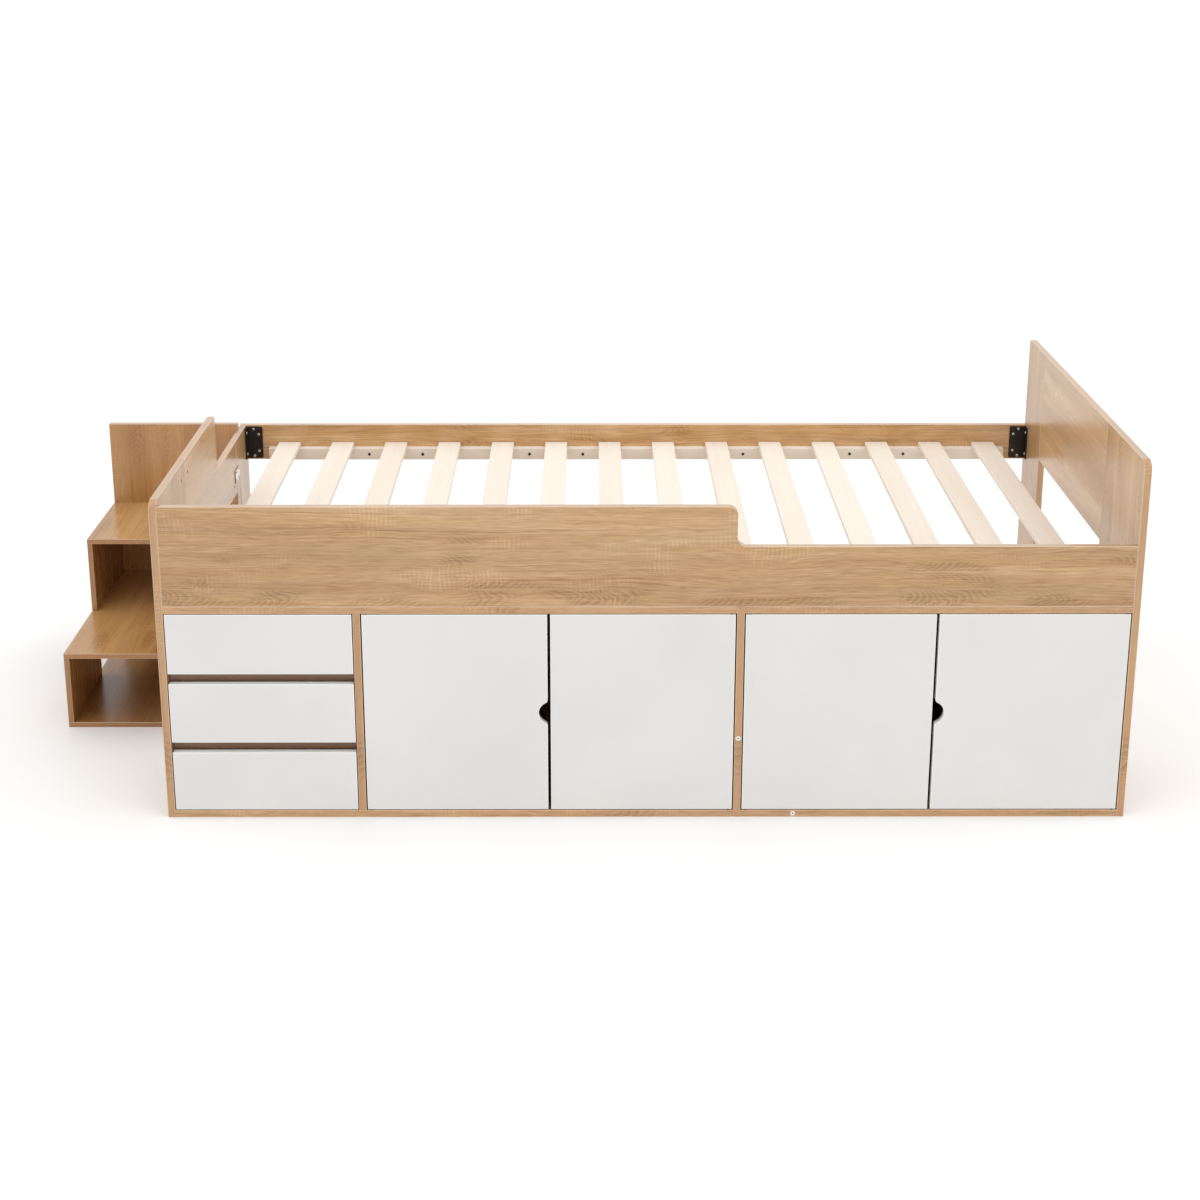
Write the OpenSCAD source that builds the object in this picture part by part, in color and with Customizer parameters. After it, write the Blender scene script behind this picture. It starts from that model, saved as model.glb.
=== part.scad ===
// Storage bed frame: a single bed over three drawers and two door cabinets, with box steps at
// the foot end. Every module draws its piece with x from the outer face of the foot end towards
// the head end, y from the front face towards the back and z from the floor; the steps lie at
// negative x. placed() moves the whole bed so that its footprint is centred on the origin.

/* [Bed] */
// Outer length over both end panels
bed_l = 1950; // [1900:10:2150]
// Front face to back face
bed_d = 950; // [900:10:1150]
// Thickness of the coated boards
board_t = 15; // [13:1:18]
// Width of the front leg boards, which is the cabinet depth with its back panel
front_leg_w = 260; // [255:5:320]
// Width of the rear leg boards
rear_leg_w = 154; // [130:2:180]
// Rounding of the front top corner of each end panel
corner_r = 22; // [5:1:40]
// Rounding of the small free board corners
small_r = 8; // [2:1:12]

/* [Foot end] */
// Height of the foot end above the raised guard part of the front rail
foot_over_guard = 10; // [0:1:60]
// Height of the foot end's low rear part above the back rail, where one climbs in
foot_over_back_rail = 0; // [0:1:40]
// Depth of the high part of the foot end
foot_tall_d = 582; // [420:2:700]
// Rounding in the notch behind the high part
notch_r = 20; // [5:1:40]
// Floor to the underside of the foot end's upper board
foot_clear_h = 424; // [390:1:430]

/* [Head end] */
// Height of the head end
head_h = 762; // [690:1:900]
// Floor to the underside of the head end's upper board
head_clear_h = 503; // [470:1:560]

/* [Rails and slats] */
// Floor to the top of the cabinets, where both rails start
cabinet_h = 461; // [440:1:480]
// Height of the low part of the front rail
low_rail_h = 126; // [120:1:150]
// Height of the raised guard part of the front rail
guard_h = 209; // [190:1:260]
// Length of the raised guard part of the front rail
guard_l = 1135; // [900:5:1400]
// Rounding at the top of the guard's free end
guard_top_r = 18; // [5:1:40]
// Rounding at the foot of the guard's free end
guard_foot_r = 20; // [5:1:40]
// Height of the back rail
back_rail_h = 88; // [86:1:88]
// Height of the ledger strips under the slats
ledger_h = 28; // [24:1:32]
// Thickness of the ledger strips
ledger_t = 20; // [15:1:25]
// Underside of a ledger above the underside of its rail
ledger_rise = 5; // [2:1:10]
// Free length of the rail at each end of a ledger
ledger_inset = 57; // [50:1:80]
// Number of slats
slat_n = 14; // [12:1:18]
// Width of a slat
slat_w = 54; // [40:1:70]
// Thickness of a slat
slat_t = 12; // [10:1:18]
// Inner face of an end panel to the nearest slat
slat_margin = 80; // [70:1:120]
// Gap at each end of a slat
slat_play = 2; // [1:0.5:4]

/* [Drawers] */
// Clear width of the drawer bay
drawer_bay_w = 375; // [330:5:420]
// Height of the gap between two drawer fronts, where the fingers go in
pull_gap = 22; // [18:1:28]
// Gap beside, above and below the drawer fronts, and above and below the doors
front_play = 2; // [1.8:0.1:3]
// Depth of the two rails between the drawers
drawer_rail_d = 60; // [40:5:90]
// Thickness of the drawer sides and backs
drawer_wall = 12; // [10:1:15]
// Height of the drawer sides
drawer_box_h = 95; // [80:1:100]
// Depth of the drawer box behind its front
drawer_box_l = 225; // [180:5:230]
// Underside of the drawer box above the underside of its front
drawer_box_rise = 12; // [6:1:16]
// Thickness of the drawer bottoms
drawer_bottom_t = 4; // [3:0.5:6]
// Depth of the groove that holds the drawer bottom
groove_d = 5; // [3:0.5:6]
// Width of a pair of runner members, from the bay's wall to the drawer side
runner_w = 12.5; // [12:0.5:14]
// Height of the fixed runner member
runner_h = 35; // [25:1:40]
// Height of the runner's middle above the underside of the drawer box
runner_rise = 28; // [25:1:40]
// Thickness of the runner's sheet steel
runner_t = 1.2; // [1:0.1:1.5]
// Gap between the two runner members, where the balls run
runner_play = 0.4; // [0.3:0.1:0.6]

/* [Doors] */
// Clear width of the cabinet beside the drawers
cabinet_1_w = 747; // [600:1:820]
// Gap between a door's hinge edge and the board beside it
door_side_play = 2.5; // [2.5:0.1:4]
// Gap between the two doors of a cabinet
door_mid_gap = 6; // [3:0.5:8]
// Pivot axis to the door's hinge edge
pivot_in = 7.5; // [7:0.5:9]
// Pivot axis behind the door's front face
pivot_y = 6; // [5:0.5:7]
// Diameter of a pivot pin
pin_d = 5; // [4:0.5:6]
// Length of a pivot pin inside the door
pin_in_door = 10; // [8:1:16]
// Radial gap of a pin in its bush
pin_play = 0.05; // [0.03:0.01:0.1]
// Outer diameter of a pivot bush
bush_d = 8; // [7.5:0.5:9]
// Depth of a pivot bush in its board
bush_l = 8; // [6:0.5:9]
// Flange diameter of a pivot bush
bush_flange_d = 11.5; // [11:0.5:12]
// Gap between a bush flange and the door
flange_play = 0.3; // [0.2:0.1:0.5]
// Radius of the half-moon finger cut-out
finger_r = 25; // [18:1:28]
// Depth of the finger cut-out from the door's edge
finger_depth = 18; // [12:1:18]
// Rounding where the cut-out meets the door's edge
finger_ease_r = 7; // [4:1:14]
// Length of a magnet catch
catch_l = 34; // [24:1:50]
// Depth of a magnet catch
catch_d = 14; // [10:1:18]
// Height of a magnet catch
catch_h = 12; // [9:1:16]
// Free edge of a door to the middle of its catch
catch_in = 40; // [30:1:80]
// Thickness of a strike plate
strike_t = 1.2; // [0.8:0.1:2]
// Gap between a magnet catch and the closed door's strike plate
catch_play = 0.3; // [0.2:0.1:0.5]

/* [Steps] */
// Thickness of the steps' boards apart from the back board
step_t = 12; // [12:1:16]
// Width of the steps
steps_w = 314; // [250:2:400]
// Rise of each of the two steps
step_h = 179; // [160:1:200]
// Depth of the lower tread in front of the upper step
lower_tread_d = 245; // [220:5:270]
// Depth of the upper tread
upper_tread_d = 258; // [220:2:280]
// Back of the steps to the plane of the bed's back
steps_gap = 28; // [10:2:60]
// Height of the steps' back board
steps_back_h = 560; // [450:5:700]
// Depth of the outer side under the lower tread
outer_side_w = 248; // [180:2:270]

/* [Fittings] */
// Height of a corner bracket
bracket_h = 80; // [70:1:86]
// Width of a corner bracket's leg on the rail
bracket_w = 40; // [36:1:48]
// Width of a corner bracket's leg on the end panel
bracket_side_w = 20; // [18:1:30]
// Thickness of a corner bracket
bracket_t = 3; // [2:0.5:4]
// Height of the middle of the front brackets above the cabinets
front_bracket_rise = 75; // [60:1:76]
// Shank diameter of the small screws
screw_d = 3.6; // [3:0.1:4]
// Head diameter of the small screws
screw_head_d = 7; // [6:0.5:8]
// Head height of the small screws
screw_head_h = 2; // [1.5:0.1:2.5]
// Depth of a small screw in its board
screw_in = 10; // [8:0.5:11]
// Length of a joining plate
plate_l = 46; // [42:1:54]
// Height of a joining plate
plate_h = 32; // [32:1:44]
// Thickness of a joining plate
plate_t = 2; // [1.5:0.5:3]
// Diameter of a dowel
dowel_d = 8; // [6:0.5:8]
// Length of a dowel
dowel_l = 30; // [25:1:35]
// Diameter of a dowel in the steps
step_dowel_d = 6; // [5:0.5:6]
// Length of a dowel in the steps
step_dowel_l = 28; // [22:1:30]
// Radial gap around dowels and screws in their holes
hole_play = 0.05; // [0.05:0.01:0.2]
// Shank diameter of the connecting screws in the end panels
connector_d = 6.5; // [5:0.5:7]
// Head diameter of the connecting screws
connector_head_d = 10; // [9:0.5:11]
// Head height of the connecting screws
connector_head_h = 2.5; // [2:0.1:3]
// Length of the connecting screws
connector_l = 50; // [40:1:60]
// Diameter of the screw caps
cap_d = 10.5; // [10:0.5:12]
// Thickness of the screw caps
cap_t = 1.2; // [1:0.1:2]
// Thickness of the cabinet back panels
back_t = 5; // [3:1:6]

/* [Hidden] */
$fn = 48;

oak = "burlywood";
pale_wood = "wheat";
white_board = "whitesmoke";
black_steel = "#1c1c1e";
zinc = "silver";
white_plastic = "white";
grey_steel = "lightgray";

// Inner faces of the end panels, of the rails and of the carcass
foot_in = board_t;
head_in = bed_l - board_t;
inner_l = head_in - foot_in;
back_in = bed_d - board_t;
carcass_d = front_leg_w - back_t;
bay_z = [board_t, cabinet_h - board_t];
// Heights of the foot end and of its low rear part
foot_h = cabinet_h + guard_h + foot_over_guard;
foot_low_h = cabinet_h + back_rail_h + foot_over_back_rail;

// Boards across the front, from the foot end to the head end
divider_x = foot_in + drawer_bay_w;
cabinet_1_x = [divider_x + board_t, divider_x + board_t + cabinet_1_w];
centre_x = cabinet_1_x[1];
cabinet_2_x = [centre_x + board_t, head_in];

// Slats on their ledgers
ledger_z = cabinet_h + ledger_rise;
slat_z = ledger_z + ledger_h;
slat_pitch = (inner_l - 2 * slat_margin - slat_w) / (slat_n - 1);
function slat_x(i) = foot_in + slat_margin + i * slat_pitch;
function slat_gap_x(i) = slat_x(i) + (slat_pitch + slat_w) / 2;
// Slat gaps, counted from the foot end, in which a ledger has a screw
ledger_screw_gaps = [1, 2, 4, 5, 8, 10, 11];

// Drawers, numbered from the top
front_h = (bay_z[1] - bay_z[0] - 2 * front_play - 2 * pull_gap) / 3;
function front_z(k) = bay_z[1] - front_play - k * front_h - (k - 1) * pull_gap;
function box_z(k) = front_z(k) + drawer_box_rise;
// Middle of the rail whose underside is level with the top edge of the front below it
function drawer_rail_z(k) = front_z(k) - pull_gap + mid_t;
drawer_rail_y = board_t + front_play;
front_x = [foot_in + front_play, divider_x - front_play];
box_x = [foot_in + runner_w, divider_x - runner_w];
box_y = [board_t, board_t + drawer_box_l];
// Underside of the drawer bottom above the underside of the box, and the gap round its edges
groove_rise = 8;
groove_play = 0.1;

// Doors, numbered from the foot end; odd ones hinge on their left edge
door_z = [bay_z[0] + front_play, bay_z[1] - front_play];
function bay_x(k) = k < 3 ? cabinet_1_x : cabinet_2_x;
function door_w(k) = (bay_x(k)[1] - bay_x(k)[0] - 2 * door_side_play - door_mid_gap) / 2;
function left_hung(k) = k % 2 == 1;
function door_x(k) = left_hung(k)
    ? [bay_x(k)[0] + door_side_play, bay_x(k)[0] + door_side_play + door_w(k)]
    : [bay_x(k)[1] - door_side_play - door_w(k), bay_x(k)[1] - door_side_play];
function pivot_x(k) = left_hung(k) ? door_x(k)[0] + pivot_in : door_x(k)[1] - pivot_in;
function catch_x(k) = left_hung(k) ? door_x(k)[1] - catch_in : door_x(k)[0] + catch_in;
flange_t = front_play - flange_play;
// Overlap of the finger cut-out's arcs where they meet
ease_cross = 0.05;
// Free depth of a bush's hole beyond the pin's end
pin_end_play = 0.5;

// Steps
steps_back_y = bed_d - steps_gap - board_t;
upper_y = steps_back_y - upper_tread_d;
lower_y = upper_y - lower_tread_d;
tread_x = [-steps_w, -step_t];
outer_x = [-steps_w, step_t - steps_w];

// Fixings on the brackets and plates, measured from the middle of each
rail_screws = [[bracket_w / 2 - 1, bracket_h / 2 - 6], [bracket_w - 9, bracket_h / 4 + 1]];
panel_screws = [[(bracket_side_w + bracket_t) / 2, bracket_h / 3]];
plate_screws = [plate_l / 2 - 9, plate_h / 2 - 5];
foot_joint_y = bed_d - rear_leg_w;
front_plate_z = cabinet_h + 34;
rear_plate_z = foot_clear_h + 44;
// Free holes in the foot end: distance on both sides of a board joint, depth and heights
spare_hole_off = 30;
spare_hole_depth = 10;
spare_hole_z = [foot_h - 35, foot_clear_h + 23];
bracket_corners = [[0, 0], [1, 0], [0, 1], [1, 1]];
function bracket_z(back) = cabinet_h + (back == 1 ? back_rail_h / 2 : front_bracket_rise);

// Dowels and connecting screws: start point, direction and length
x_dir = [1, 0, 0];
y_dir = [0, 1, 0];
z_dir = [0, 0, 1];
face_in = board_t - 5;
step_face_in = step_t - 4;
hole_end = 0.4;
function edge_dowel(p, dir) = [p - dir * dowel_l / 2, dir, dowel_l, dowel_d];
function face_dowel(p, dir) = [p - dir * face_in, dir, dowel_l, dowel_d];
function step_dowel(p, dir) = [p - dir * step_face_in, dir, step_dowel_l, step_dowel_d];
mid_t = board_t / 2;
function rail_dowel(x) = [[x, mid_t, cabinet_h - face_in], z_dir, 2 * face_in, dowel_d];
depth_1 = 60;
depth_2 = carcass_d - depth_1;
rail_dowel_in = 150;
end_dowel_in = 60;
end_dowels = concat(
    [for (z = [foot_clear_h + end_dowel_in / 2, foot_h - end_dowel_in])
        edge_dowel([mid_t, front_leg_w, z], y_dir)],
    [for (z = [foot_clear_h + end_dowel_in / 4, foot_low_h - end_dowel_in / 4])
        edge_dowel([mid_t, foot_joint_y, z], y_dir)],
    [for (y = [front_leg_w, foot_joint_y], z = [head_clear_h + end_dowel_in, head_h - end_dowel_in])
        edge_dowel([bed_l - mid_t, y, z], y_dir)]
);
rail_dowels = [
    for (x = [foot_in, centre_x + board_t]) rail_dowel(x + rail_dowel_in),
    for (x = [centre_x, head_in]) rail_dowel(x - rail_dowel_in)
];
carcass_dowels = concat(
    [for (y = [depth_1, depth_2], z = [mid_t, cabinet_h - mid_t])
        [[centre_x - dowel_l / 2, y, z], x_dir, board_t + dowel_l, dowel_d]],
    [for (y = [depth_1, depth_2]) face_dowel([divider_x + mid_t, y, bay_z[0]], z_dir)],
    [for (y = [depth_1, depth_2]) face_dowel([divider_x + mid_t, y, bay_z[1]], -z_dir)],
    [for (k = [1, 2]) face_dowel([foot_in, drawer_rail_y + 20, drawer_rail_z(k)], x_dir)],
    [for (k = [1, 2]) face_dowel([divider_x, drawer_rail_y + 20, drawer_rail_z(k)], -x_dir)]
);
mid_step = step_t / 2;
step_dowel_in = 50;
step_dowel_far = 80;
lower_side_y = [lower_y + step_dowel_in, lower_y + outer_side_w - step_dowel_in];
upper_side_y = [upper_y + step_dowel_in, steps_back_y - step_dowel_in];
step_dowels = concat(
    [for (y = lower_side_y) step_dowel([mid_step - steps_w, y, step_t], z_dir)],
    [for (y = lower_side_y) step_dowel([mid_step - steps_w, y, step_h - step_t], -z_dir)],
    [for (y = upper_side_y) step_dowel([mid_step - steps_w, y, step_h], z_dir)],
    [for (y = upper_side_y) step_dowel([mid_step - steps_w, y, 2 * step_h - step_t], -z_dir)],
    [for (y = [lower_y + step_dowel_in, steps_back_y - step_dowel_far])
        step_dowel([-mid_step, y, step_t], z_dir)],
    [for (y = [lower_y + step_dowel_far, steps_back_y - step_dowel_in])
        step_dowel([-step_t, y, step_h - mid_step], -x_dir)],
    [for (y = [upper_y + step_dowel_far, steps_back_y - step_dowel_in])
        step_dowel([-step_t, y, 2 * step_h - mid_step], -x_dir)],
    [for (x = [step_dowel_far - steps_w, -step_dowel_far], n = [0, 1, 2])
        step_dowel([x, steps_back_y, n == 0 ? mid_step : n * step_h - mid_step], -y_dir)]
);
connectors = [for (y = [depth_1, depth_2], z = [mid_t, cabinet_h - mid_t], end = [0, 1])
    [[end * bed_l, y, z], end == 0 ? x_dir : -x_dir]];
// Screws from inside the steps into the foot end's rear leg
step_screw_l = step_t + screw_in;
step_screw_y = foot_joint_y + 40;
step_screw_down = 70;
step_screws = [for (n = [1, 2]) [-step_t, step_screw_y, n * step_h - step_screw_down]];

// The three loose caps: on the centre divider, on the right bottom board and on the head end
divider_cap_z = 175;
board_cap_x = centre_x + 122;
head_cap = [foot_joint_y - 114, head_h - 63];
cap_places = [
    [[centre_x + mid_t, 0, divider_cap_z], -y_dir],
    [[board_cap_x, 0, mid_t], -y_dir],
    [[head_in, head_cap[0], head_cap[1]], -x_dir]
];

module placed() {
    translate([(steps_w - bed_l) / 2, -bed_d / 2, 0]) children();
}

// Box between two values on each axis
module block(x, y, z) {
    translate([x[0], y[0], z[0]]) cube([x[1] - x[0], y[1] - y[0], z[1] - z[0]]);
}

// Turns the z axis to point along dir
module aim(dir) {
    rotate([dir[2] < 0 ? 180 : -90 * dir[1], 90 * dir[0], 0]) children();
}

module rod(start, dir, d, l) {
    translate(start) aim(dir) cylinder(d = d, h = l);
}

// Flat outline in y and z, given thickness along x from x0
module side_board(x0, t) {
    translate([x0, 0, 0]) rotate([90, 0, 90]) linear_extrude(t) children();
}

// Flat outline in x and z, given thickness along y from y0
module face_board(y0, t) {
    translate([0, y0 + t, 0]) rotate([90, 0, 0]) linear_extrude(t) children();
}

module rectangle(x, y) {
    translate([x[0], y[0]]) square([x[1] - x[0], y[1] - y[0]]);
}

// Rectangle with one corner rounded; side and level are 0 for the low and 1 for the high end
module rounded_rectangle(x, y, side, level, r) {
    cx = side == 0 ? x[0] + r : x[1] - r;
    cy = level == 0 ? y[0] + r : y[1] - r;
    difference() {
        rectangle(x, y);
        rectangle([x[side] - r, x[side] + r], [y[level] - r, y[level] + r]);
    }
    intersection() {
        rectangle(x, y);
        translate([cx, cy]) circle(r = r);
    }
}

// Fills the inner corner at p with a concave rounding towards higher values on both axes
module inner_rounding(p, r) {
    difference() {
        translate(p) square(r);
        translate([p[0] + r, p[1] + r]) circle(r = r);
    }
}

module dowel_holes(places) {
    for (q = places) {
        rod(q[0] - q[1] * hole_end, q[1], q[3] + 2 * hole_play, q[2] + 2 * hole_end);
    }
}

// Stepped hole for a connecting screw under its cap
module connector_holes() {
    for (q = connectors) {
        rod(q[0], q[1], cap_d + 2 * hole_play, cap_t);
        rod(q[0], q[1], connector_head_d + 2 * hole_play, cap_t + connector_head_h);
        rod(q[0], q[1], connector_d + 2 * hole_play, connector_l + hole_end);
    }
}

module cap_holes() {
    for (q = cap_places) rod(q[0], -q[1], cap_d + 2 * hole_play, cap_t);
}

// Pan head above z = 0 with a cross recess, shank of length l below it
module pan_screw(l) {
    slot = [0.55 * screw_head_d, 0.12 * screw_head_d];
    difference() {
        cylinder(d = screw_head_d, h = screw_head_h);
        for (a = [0, 90]) rotate(a) translate([0, 0, screw_head_h])
            cube([slot[0], slot[1], screw_head_h], center = true);
    }
    translate([0, 0, -l]) cylinder(d = screw_d, h = l + screw_head_h / 4);
}

module screw_hole(l) {
    translate([0, 0, -l - hole_end]) cylinder(d = screw_d + 2 * hole_play, h = l + 2 * hole_end);
}

// Moves a shape drawn in the foot end's front inner corner to one of the four corners
module at_corner(c) {
    translate([c[0] == 0 ? foot_in : head_in, c[1] == 0 ? board_t : back_in, bracket_z(c[1])])
        mirror([c[0], 0, 0]) mirror([0, c[1], 0]) children();
}

// Places a child at every screw of a bracket, its head outwards
module at_bracket_screws() {
    for (p = rail_screws, s = [-1, 1]) {
        translate([p[0], bracket_t, s * p[1]]) aim(y_dir) children();
    }
    for (p = panel_screws, s = [-1, 1]) {
        translate([bracket_t, p[0], s * p[1]]) aim(x_dir) children();
    }
}

module bracket_holes() {
    for (c = bracket_corners) at_corner(c) at_bracket_screws() screw_hole(bracket_t + screw_in);
}

module corner_bracket() {
    difference() {
        union() {
            for (level = [0, 1]) {
                half = level == 0 ? [-bracket_h / 2, 0] : [0, bracket_h / 2];
                face_board(0, bracket_t) rounded_rectangle([0, bracket_w], half, 1, level, small_r / 2);
                side_board(0, bracket_t)
                    rounded_rectangle([0, bracket_side_w], half, 1, level, small_r / 2);
            }
        }
        at_bracket_screws() screw_hole(bracket_t + screw_in);
    }
}

// Places a child at every screw of the two joining plates inside the foot end
module at_plate_screws() {
    for (p = [[front_leg_w, front_plate_z], [foot_joint_y, rear_plate_z]], s = [-1, 1], u = [-1, 1]) {
        translate([foot_in + plate_t, p[0] + s * plate_screws[0], p[1] + u * plate_screws[1]])
            aim(x_dir) children();
    }
}

module at_ledger_screws(back) {
    for (i = ledger_screw_gaps) {
        translate([slat_gap_x(i), back == 1 ? back_in - ledger_t : board_t + ledger_t,
            ledger_z + ledger_h / 2]) aim(back == 1 ? -y_dir : y_dir) children();
    }
}

module at_step_screws() {
    for (p = step_screws) translate(p) aim(-x_dir) children();
}

module spare_holes() {
    for (s = [-1, 1], n = [0, 1]) {
        y = (n == 0 ? front_leg_w : foot_joint_y) + s * spare_hole_off;
        rod([foot_in, y, spare_hole_z[n]], -x_dir, dowel_d, spare_hole_depth);
    }
}

module foot_front_board() {
    color(oak) difference() {
        side_board(0, board_t) rounded_rectangle([0, front_leg_w], [0, foot_h], 0, 1, corner_r);
        dowel_holes(concat(end_dowels, carcass_dowels));
        connector_holes();
        bracket_holes();
        at_plate_screws() screw_hole(plate_t + screw_in);
        spare_holes();
    }
}

module foot_upper_board() {
    color(oak) difference() {
        side_board(0, board_t) {
            rectangle([front_leg_w, foot_joint_y], [foot_clear_h, foot_low_h]);
            rounded_rectangle([front_leg_w, foot_tall_d], [foot_low_h, foot_h], 1, 1, small_r);
            inner_rounding([foot_tall_d, foot_low_h], notch_r);
        }
        dowel_holes(end_dowels);
        at_plate_screws() screw_hole(plate_t + screw_in);
        spare_holes();
    }
}

module foot_rear_leg() {
    color(oak) difference() {
        block([0, board_t], [foot_joint_y, bed_d], [0, foot_low_h]);
        dowel_holes(end_dowels);
        bracket_holes();
        spare_holes();
        at_plate_screws() screw_hole(plate_t + screw_in);
        at_step_screws() screw_hole(step_screw_l);
    }
}

module head_front_board() {
    color(oak) difference() {
        side_board(head_in, board_t) rounded_rectangle([0, front_leg_w], [0, head_h], 0, 1, corner_r);
        dowel_holes(end_dowels);
        connector_holes();
        bracket_holes();
    }
}

module head_upper_board() {
    color(oak) difference() {
        block([head_in, bed_l], [front_leg_w, foot_joint_y], [head_clear_h, head_h]);
        dowel_holes(end_dowels);
        cap_holes();
    }
}

module head_rear_leg() {
    color(oak) difference() {
        side_board(head_in, board_t)
            rounded_rectangle([foot_joint_y, bed_d], [0, head_h], 1, 1, small_r);
        dowel_holes(end_dowels);
        bracket_holes();
    }
}

// Front rail outline: low part, raised guard with a rounded end and a rounded foot
module front_rail_outline() {
    rectangle([0, inner_l], [0, low_rail_h]);
    rounded_rectangle([0, guard_l], [low_rail_h, guard_h], 1, 1, guard_top_r);
    inner_rounding([guard_l, low_rail_h], guard_foot_r);
}

module front_rail() {
    color(oak) difference() {
        face_board(0, board_t) translate([foot_in, cabinet_h]) front_rail_outline();
        dowel_holes(rail_dowels);
        bracket_holes();
        at_ledger_screws(0) screw_hole(ledger_t + screw_in);
    }
}

module back_rail() {
    color(oak) difference() {
        block([foot_in, head_in], [back_in, bed_d], [cabinet_h, cabinet_h + back_rail_h]);
        bracket_holes();
        at_ledger_screws(1) screw_hole(ledger_t + screw_in);
    }
}

module ledger(back) {
    x = [foot_in + ledger_inset, head_in - ledger_inset];
    middle = (x[0] + x[1]) / 2;
    z = [ledger_z, slat_z];
    difference() {
        face_board(back == 1 ? back_in - ledger_t : board_t, ledger_t) {
            rounded_rectangle([x[0], middle], z, 0, 0, small_r);
            rounded_rectangle([middle, x[1]], z, 1, 0, small_r);
        }
        at_ledger_screws(back) screw_hole(ledger_t + screw_in);
    }
}

module front_ledger() {
    color(pale_wood) ledger(0);
}

module back_ledger() {
    color(pale_wood) ledger(1);
}

module slats() {
    color(pale_wood) for (i = [0 : slat_n - 1]) {
        block([slat_x(i), slat_x(i) + slat_w], [board_t + slat_play, back_in - slat_play],
            [slat_z, slat_z + slat_t]);
    }
}

module front_corner_brackets() {
    color(black_steel) for (c = bracket_corners) if (c[1] == 0) at_corner(c) corner_bracket();
}

module back_corner_brackets() {
    color(black_steel) for (c = bracket_corners) if (c[1] == 1) at_corner(c) corner_bracket();
}

module wood_screws() {
    color(zinc) {
        for (c = bracket_corners) at_corner(c) at_bracket_screws() pan_screw(bracket_t + screw_in);
        at_plate_screws() pan_screw(plate_t + screw_in);
        at_step_screws() pan_screw(step_screw_l);
    }
}

module ledger_screws() {
    color(black_steel) for (back = [0, 1]) at_ledger_screws(back) pan_screw(ledger_t + screw_in);
}

module joining_plates() {
    color(zinc) difference() {
        for (p = [[front_leg_w, front_plate_z], [foot_joint_y, rear_plate_z]]) {
            block([foot_in, foot_in + plate_t], [p[0] - plate_l / 2, p[0] + plate_l / 2],
                [p[1] - plate_h / 2, p[1] + plate_h / 2]);
        }
        at_plate_screws() screw_hole(plate_t + screw_in);
    }
}

module dowels() {
    color(pale_wood) for (q = concat(end_dowels, rail_dowels, carcass_dowels, step_dowels)) {
        rod(q[0], q[1], q[3], q[2]);
    }
}

module connecting_screws() {
    color(zinc) for (q = connectors) {
        rod(q[0] + q[1] * cap_t, q[1], connector_head_d, connector_head_h);
        rod(q[0] + q[1] * cap_t, q[1], connector_d, connector_l - cap_t);
    }
}

module screw_caps() {
    color(white_plastic) {
        for (q = connectors) rod(q[0], q[1], cap_d, cap_t);
        for (q = cap_places) rod(q[0], -q[1], cap_d, cap_t);
    }
}

// Bottom and top boards lie on both sides of the centre divider
module carcass_board(x, z) {
    color(oak) difference() {
        block(x, [0, carcass_d], z);
        dowel_holes(concat(rail_dowels, carcass_dowels));
        connector_holes();
        cap_holes();
        bush_holes();
    }
}

module bottom_board_left() {
    carcass_board([foot_in, centre_x], [0, board_t]);
}

module bottom_board_right() {
    carcass_board([centre_x + board_t, head_in], [0, board_t]);
}

module top_board_left() {
    carcass_board([foot_in, centre_x], [bay_z[1], cabinet_h]);
}

module top_board_right() {
    carcass_board([centre_x + board_t, head_in], [bay_z[1], cabinet_h]);
}

module drawer_divider() {
    color(oak) difference() {
        block([divider_x, divider_x + board_t], [0, carcass_d], bay_z);
        dowel_holes(carcass_dowels);
    }
}

module centre_divider() {
    color(oak) difference() {
        block([centre_x, centre_x + board_t], [0, carcass_d], [0, cabinet_h]);
        dowel_holes(carcass_dowels);
        cap_holes();
    }
}

module back_panel_left() {
    color(oak) block([foot_in, centre_x + mid_t], [carcass_d, front_leg_w], [0, cabinet_h]);
}

module back_panel_right() {
    color(oak) block([centre_x + mid_t, head_in], [carcass_d, front_leg_w], [0, cabinet_h]);
}

module drawer_rail(k) {
    color(oak) difference() {
        block([foot_in, divider_x], [drawer_rail_y, drawer_rail_y + drawer_rail_d],
            [drawer_rail_z(k) - mid_t, drawer_rail_z(k) + mid_t]);
        dowel_holes(carcass_dowels);
    }
}

module upper_drawer_rail() {
    drawer_rail(1);
}

module lower_drawer_rail() {
    drawer_rail(2);
}

// Draws a runner member for the left wall of the bay and its mirror image for the right wall
module at_both_walls() {
    translate([foot_in, 0, 0]) children();
    translate([divider_x, 0, 0]) mirror([1, 0, 0]) children();
}

// Fixed runner member: a channel that opens towards the drawer
module fixed_runner(k) {
    y = [box_y[0], box_y[1]];
    mid = box_z(k) + runner_rise;
    z = [mid - runner_h / 2, mid + runner_h / 2];
    difference() {
        block([0, runner_w - 2.5], y, z);
        block([runner_t, runner_w], [y[0] - 1, y[1] + 1], [z[0] + runner_t, z[1] - runner_t]);
    }
}

// Moving runner member: a narrower channel on the drawer side that opens towards the wall
module moving_runner(k) {
    mid = box_z(k) + runner_rise;
    half = runner_h / 2 - runner_t - runner_play;
    difference() {
        block([2.5, runner_w], box_y, [mid - half, mid + half]);
        block([0, runner_w - runner_t], [box_y[0] - 1, box_y[1] + 1],
            [mid - half + runner_t, mid + half - runner_t]);
    }
}

module drawer_runners() {
    color(grey_steel) for (k = [1, 2, 3]) at_both_walls() fixed_runner(k);
}

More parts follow.
